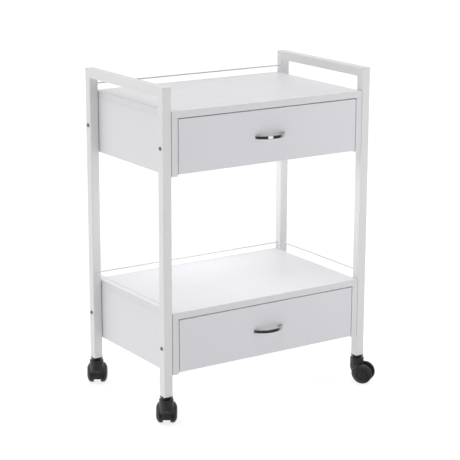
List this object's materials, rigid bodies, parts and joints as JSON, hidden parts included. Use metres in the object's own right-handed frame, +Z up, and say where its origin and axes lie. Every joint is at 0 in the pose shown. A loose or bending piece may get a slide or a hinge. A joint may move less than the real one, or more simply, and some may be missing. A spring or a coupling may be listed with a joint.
{
  "type": "rolling salon trolley",
  "caption": "White tool trolley with square-tube side frames, a top shelf and a lower shelf, each over a drawer with a bow pull, on twin-wheel swivel casters.",
  "frame": {"origin": "floor, under the middle of the object's footprint", "axes": "+Z up, front (drawer pulls) towards -Y, +X to the right seen from the front"},
  "size_m": [0.6973, 0.4756, 0.89],
  "materials": {
    "white_steel": "white powder coat, satin",
    "white_board": "white melamine-faced board, matt",
    "front_board": "white melamine-faced board, satin",
    "drawer_board": "white foil-wrapped board",
    "chrome": "polished chrome",
    "zinc_steel": "bright zinc plate",
    "black_bolt": "black oxide",
    "washer_nylon": "grey nylon",
    "black_nylon": "moulded black plastic",
    "hood_nylon": "moulded black nylon, satin",
    "wheel_nylon": "moulded black nylon",
    "roller_nylon": "white nylon"
  },
  "bodies": {
    "frame": {"left_side_frame": "white_steel", "right_side_frame": "white_steel", "rear_top_rail": "white_steel", "rear_lower_rail": "white_steel", "left_lower_rail": "white_steel", "right_lower_rail": "white_steel", "upper_top_panel": "white_board", "upper_left_panel": "white_board", "upper_right_panel": "white_board", "upper_back_panel": "white_board", "upper_left_runner": "zinc_steel", "upper_right_runner": "zinc_steel", "lower_top_panel": "white_board", "lower_left_panel": "white_board", "lower_right_panel": "white_board", "lower_back_panel": "white_board", "lower_left_runner": "zinc_steel", "lower_right_runner": "zinc_steel", "frame_bolts": "black_bolt", "spacer_washers": "washer_nylon", "post_plugs": "black_nylon", "caster_stems": "black_bolt"},
    "upper_drawer": {"upper_drawer_front": "front_board", "upper_drawer_left": "drawer_board", "upper_drawer_right": "drawer_board", "upper_drawer_back": "drawer_board", "upper_drawer_bottom": "drawer_board", "upper_pull": "chrome", "upper_pull_screws": "zinc_steel", "upper_left_slide": "zinc_steel", "upper_right_slide": "zinc_steel"},
    "upper_front_rollers": {"upper_front_rollers": "roller_nylon"},
    "upper_rear_rollers": {"upper_rear_rollers": "roller_nylon"},
    "lower_drawer": {"lower_drawer_front": "front_board", "lower_drawer_left": "drawer_board", "lower_drawer_right": "drawer_board", "lower_drawer_back": "drawer_board", "lower_drawer_bottom": "drawer_board", "lower_pull": "chrome", "lower_pull_screws": "zinc_steel", "lower_left_slide": "zinc_steel", "lower_right_slide": "zinc_steel"},
    "lower_front_rollers": {"lower_front_rollers": "roller_nylon"},
    "lower_rear_rollers": {"lower_rear_rollers": "roller_nylon"},
    "front_left_caster": {"front_left_hood": "hood_nylon", "front_left_axle": "zinc_steel"},
    "front_left_wheel_a": {"front_left_wheel_a": "wheel_nylon"},
    "front_left_wheel_b": {"front_left_wheel_b": "wheel_nylon"},
    "rear_left_caster": {"rear_left_hood": "hood_nylon", "rear_left_axle": "zinc_steel"},
    "rear_left_wheel_a": {"rear_left_wheel_a": "wheel_nylon"},
    "rear_left_wheel_b": {"rear_left_wheel_b": "wheel_nylon"},
    "front_right_caster": {"front_right_hood": "hood_nylon", "front_right_axle": "zinc_steel"},
    "front_right_wheel_a": {"front_right_wheel_a": "wheel_nylon"},
    "front_right_wheel_b": {"front_right_wheel_b": "wheel_nylon"},
    "rear_right_caster": {"rear_right_hood": "hood_nylon", "rear_right_axle": "zinc_steel"},
    "rear_right_wheel_a": {"rear_right_wheel_a": "wheel_nylon"},
    "rear_right_wheel_b": {"rear_right_wheel_b": "wheel_nylon"}
  },
  "joints": [
    {"name": "upper_drawer_slide", "type": "slide", "parent": "frame", "child": "upper_drawer", "axis": [0, -1, 0], "range_m": [0, 0.26]},
    {"name": "upper_front_roller_spin", "type": "hinge", "parent": "frame", "child": "upper_front_rollers", "pos_m": [-0.015, -0.17, 0.698], "axis": [1, 0, 0], "continuous": true},
    {"name": "upper_rear_roller_spin", "type": "hinge", "parent": "upper_drawer", "child": "upper_rear_rollers", "pos_m": [-0.015, 0.146, 0.698], "axis": [1, 0, 0], "continuous": true},
    {"name": "lower_drawer_slide", "type": "slide", "parent": "frame", "child": "lower_drawer", "axis": [0, -1, 0], "range_m": [0, 0.26]},
    {"name": "lower_front_roller_spin", "type": "hinge", "parent": "frame", "child": "lower_front_rollers", "pos_m": [-0.015, -0.17, 0.173], "axis": [1, 0, 0], "continuous": true},
    {"name": "lower_rear_roller_spin", "type": "hinge", "parent": "lower_drawer", "child": "lower_rear_rollers", "pos_m": [-0.015, 0.146, 0.173], "axis": [1, 0, 0], "continuous": true},
    {"name": "front_left_swivel", "type": "hinge", "parent": "frame", "child": "front_left_caster", "pos_m": [-0.3275, -0.1875, 0.071], "axis": [0, 0, 1], "continuous": true},
    {"name": "front_left_wheel_a_spin", "type": "hinge", "parent": "front_left_caster", "child": "front_left_wheel_a", "pos_m": [-0.31661, -0.17073, 0.028], "axis": [-0.8387, 0.5446, 0], "continuous": true},
    {"name": "front_left_wheel_b_spin", "type": "hinge", "parent": "front_left_caster", "child": "front_left_wheel_b", "pos_m": [-0.31661, -0.17073, 0.028], "axis": [-0.8387, 0.5446, 0], "continuous": true},
    {"name": "rear_left_swivel", "type": "hinge", "parent": "frame", "child": "rear_left_caster", "pos_m": [-0.3275, 0.1875, 0.071], "axis": [0, 0, 1], "continuous": true},
    {"name": "rear_left_wheel_a_spin", "type": "hinge", "parent": "rear_left_caster", "child": "rear_left_wheel_a", "pos_m": [-0.31661, 0.20427, 0.028], "axis": [-0.8387, 0.5446, 0], "continuous": true},
    {"name": "rear_left_wheel_b_spin", "type": "hinge", "parent": "rear_left_caster", "child": "rear_left_wheel_b", "pos_m": [-0.31661, 0.20427, 0.028], "axis": [-0.8387, 0.5446, 0], "continuous": true},
    {"name": "front_right_swivel", "type": "hinge", "parent": "frame", "child": "front_right_caster", "pos_m": [0.2975, -0.1875, 0.071], "axis": [0, 0, 1], "continuous": true},
    {"name": "front_right_wheel_a_spin", "type": "hinge", "parent": "front_right_caster", "child": "front_right_wheel_a", "pos_m": [0.30897, -0.20388, 0.028], "axis": [0.8192, 0.5736, 0], "continuous": true},
    {"name": "front_right_wheel_b_spin", "type": "hinge", "parent": "front_right_caster", "child": "front_right_wheel_b", "pos_m": [0.30897, -0.20388, 0.028], "axis": [0.8192, 0.5736, 0], "continuous": true},
    {"name": "rear_right_swivel", "type": "hinge", "parent": "frame", "child": "rear_right_caster", "pos_m": [0.2975, 0.1875, 0.071], "axis": [0, 0, 1], "continuous": true},
    {"name": "rear_right_wheel_a_spin", "type": "hinge", "parent": "rear_right_caster", "child": "rear_right_wheel_a", "pos_m": [0.31282, 0.20036, 0.028], "axis": [-0.6428, 0.766, 0], "continuous": true},
    {"name": "rear_right_wheel_b_spin", "type": "hinge", "parent": "rear_right_caster", "child": "rear_right_wheel_b", "pos_m": [0.31282, 0.20036, 0.028], "axis": [-0.6428, 0.766, 0], "continuous": true}
  ],
  "couplings": [
    {"joint": "upper_front_roller_spin", "follows": "upper_drawer_slide", "rad_per_m": 133.33},
    {"joint": "upper_rear_roller_spin", "follows": "upper_drawer_slide", "rad_per_m": 133.33},
    {"joint": "lower_front_roller_spin", "follows": "lower_drawer_slide", "rad_per_m": 133.33},
    {"joint": "lower_rear_roller_spin", "follows": "lower_drawer_slide", "rad_per_m": 133.33}
  ]
}
